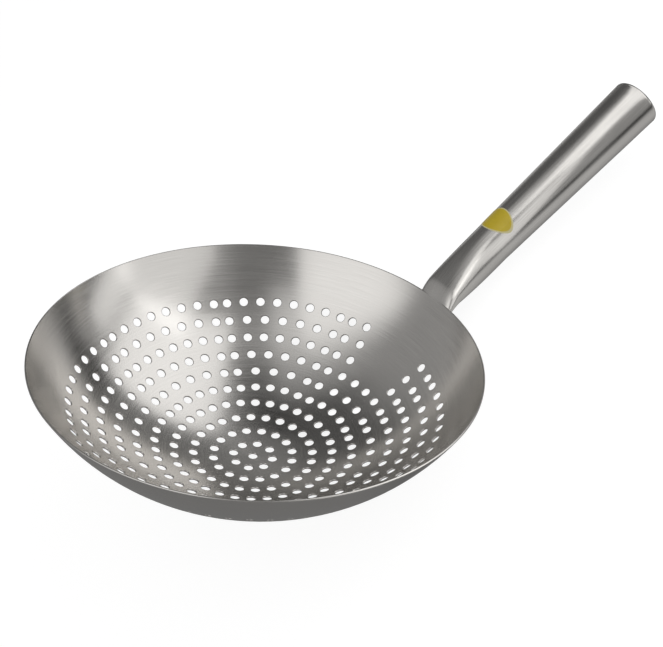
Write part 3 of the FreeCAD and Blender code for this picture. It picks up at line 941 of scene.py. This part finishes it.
world = bpy.data.worlds.new("studio")
world.use_nodes = True
bpy.context.scene.world = world
tree = Tree(world.node_tree)
rays = tree.add("ShaderNodeLightPath").outputs
mirrored = tree.either(SOFT_LIGHT, studio_level(tree), rays["Is Glossy Ray"])
seen = tree.math("MAXIMUM", rays["Is Camera Ray"], rays["Is Transmission Ray"])
background = world.node_tree.nodes["Background"]
tree.feed(background.inputs["Strength"], tree.either(mirrored, 1.0, seen))
background.inputs["Color"].default_value = (1, 1, 1, 1)
print("the studio has", len(PATCHES), "patches of light and shade")

# %% [markdown]
# The floor is a round, pale table top. It has to look pure white to the camera and still carry
# the skimmer's shadow. A plain white floor would come out grey, as paper does under a lamp. So
# its colour is grey near the bowl, which takes the shadow, and it gives off by itself what it
# lacks to white. That colour is a painted pool of light: lighter near the skimmer and painted
# dark farther out, where the floor is nearly all its own light. For mirror rays the colour is
# darker still, which is painted shade.

# %% The floor
FLOOR_RADIUS, FLOOR_CORNERS = 0.8, 96
# painted pool of light: the floor's colour within it near the skimmer, painted dark farther out, and
# where it fades
POOL_LIGHT_TONE, FAR_SHADE_TONE, POOL = 0.28, 0.04, (0.26, 0.50)
# painted shade: how much darker the floor's colour is for mirror rays
MIRRORED_SHADE, FLOOR_LIGHT, FLOOR_ROUGHNESS = 0.35, 0.50, 0.8


def distance(tree, place, other):
    apart = tree.add("ShaderNodeVectorMath", {0: place, 1: other}, operation="DISTANCE")
    return apart.outputs["Value"]


circle = [2 * math.pi * number / FLOOR_CORNERS for number in range(FLOOR_CORNERS)]
outline = [(FLOOR_RADIUS * math.cos(a), FLOOR_RADIUS * math.sin(a), 0) for a in circle]
floor_mesh = bpy.data.meshes.new("floor")
floor_mesh.from_pydata(outline, [], [range(FLOOR_CORNERS)])
floor_material = bpy.data.materials.new("pale_floor")
floor_material.use_nodes = True
tree = Tree(floor_material.node_tree)
shader = floor_material.node_tree.nodes["Principled BSDF"]
place = tree.add("ShaderNodeTexCoord").outputs["Object"]
# the painted pool of light: the floor's colour is lighter near the skimmer and painted dark farther out
lit = tree.math("SUBTRACT", 1.0, smooth(tree, distance(tree, place, (rest_x, 0, 0)), *POOL))
tone = tree.either(FAR_SHADE_TONE, POOL_LIGHT_TONE, lit)
rays = tree.add("ShaderNodeLightPath").outputs
# painted shade: for mirror rays the floor's colour is darker still
mirror_shaded_tone = tree.math("MULTIPLY", tone, tree.either(1.0, MIRRORED_SHADE, rays["Is Glossy Ray"]))
tree.feed(shader.inputs["Base Color"], tree.vector(mirror_shaded_tone, mirror_shaded_tone, mirror_shaded_tone))
shader.inputs["Roughness"].default_value = FLOOR_ROUGHNESS
shader.inputs["Specular IOR Level"].default_value = 0.0
floor = link(floor_mesh, "floor", floor_material)
print("the floor is", 2 * FLOOR_RADIUS, "m across")

# %% [markdown]
# In the steel's mirror image a floor that glows all over would make the bowl's underside and the
# handle flat. So for mirror rays it glows in three places only: a glint behind the handle's end,
# a strip in front of the handle, and a weak glow on the bowl's far side.

# %% The floor in the steel's mirror image
MIRRORED_GLOW, FAR_GLOW = 0.42, 0.14
GLINT_AT, GLINT = (rest_x + 0.24, 0.22, 0), (0.10, 0.19)
STRIP_BEGINS, STRIP_ENDS, FAR_SIDE = (-0.02, 0.04), (0.06, 0.13), (-0.10, 0.04)

glint = tree.math("SUBTRACT", 1.0, smooth(tree, distance(tree, place, GLINT_AT), *GLINT))
along, across, _ = tree.split(place)
to_front = tree.math("MULTIPLY", across, -1.0)
near_handle = tree.math("SUBTRACT", 1.0, smooth(tree, to_front, *STRIP_ENDS))
strip = tree.math("MULTIPLY", smooth(tree, to_front, *STRIP_BEGINS), near_handle)
far_side = smooth(tree, tree.math("SUBTRACT", rest_x, along), *FAR_SIDE)
strip = tree.math("MULTIPLY", strip, tree.math("SUBTRACT", 1.0, far_side))
glowing = tree.math("MULTIPLY", tree.math("MAXIMUM", glint, strip), MIRRORED_GLOW)
glowing = tree.math("MAXIMUM", glowing, tree.math("MULTIPLY", far_side, FAR_GLOW))
mirrored = tree.math("MULTIPLY", rays["Is Glossy Ray"], glowing)
seen = tree.math("MAXIMUM", rays["Is Camera Ray"], rays["Is Transmission Ray"])
to_white = tree.math("SUBTRACT", 1.0, tree.math("MULTIPLY", tone, FLOOR_LIGHT))
tree.feed(shader.inputs["Emission Strength"], tree.either(mirrored, to_white, seen))
shader.inputs["Emission Color"].default_value = (1, 1, 1, 1)
print("the floor glows in three places for the steel")

# %% [markdown]
# Two of the studio's lights stand so near that the bowl and the handle each mirror them from
# their own place. A patch at a great distance can't do that, so these are real area lamps: a
# softbox over the handle, and a white card low on the right. Each is placed by how far it is to
# the right of the rim's centre, to the back of it and above it, in metres.

# %% The lamps near the skimmer
RIGHT, BACK, UP = studio_direction(90, 0), -studio_direction(0, 0), studio_direction(0, 90)
SOFTBOX_AT, SOFTBOX_SIZE, SOFTBOX_RADIANCE = (0.447, 0.205, 0.557), (0.685, 0.748), 0.80
CARD_AT, CARD_SIZE, CARD_RADIANCE = (0.27, -0.30, 0.23), (0.60, 0.50), 0.52


def near_lamp(name, place, behind, along, size, radiance):
    """A rectangular lamp: its place, what it turns its back to, and which way its width runs."""
    light = bpy.data.lights.new(name, "AREA")
    light.shape, light.size, light.size_y = "RECTANGLE", size[0], size[1]
    light.energy = radiance * math.pi * size[0] * size[1]
    lamp = bpy.data.objects.new(name, light)
    bpy.context.scene.collection.objects.link(lamp)
    axes = Matrix((along, behind.cross(along), behind)).transposed().to_4x4()
    middle = RIGHT * place[0] + BACK * place[1] + UP * place[2]
    lamp.matrix_world = Matrix.Translation(TO_REST.translation + middle) @ axes
    return lamp


lamps = [
    near_lamp("overhead_softbox", SOFTBOX_AT, UP, RIGHT, SOFTBOX_SIZE, SOFTBOX_RADIANCE),
    near_lamp("card_on_the_right", CARD_AT, RIGHT, BACK, CARD_SIZE, CARD_RADIANCE),
]
bpy.context.scene.view_settings.view_transform = "Standard"
print("lamps near the skimmer:", [lamp.name for lamp in lamps])

# %% [markdown]
# The last cell says which of the part's nodes each piece stands for, and which finish it has.
# The bowl and the handle are one sheet, so both stand for the same node. Nothing moves, so all
# three pieces ride on the part's root.

# %% Finish the scene
pieces = (
    (bowl, "skimmer", "steel"),
    (handle, "skimmer", "steel"),
    (sticker, "round_sticker", "label"),
)
for piece, node, finish in pieces:
    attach(piece, "root")
    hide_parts(node)
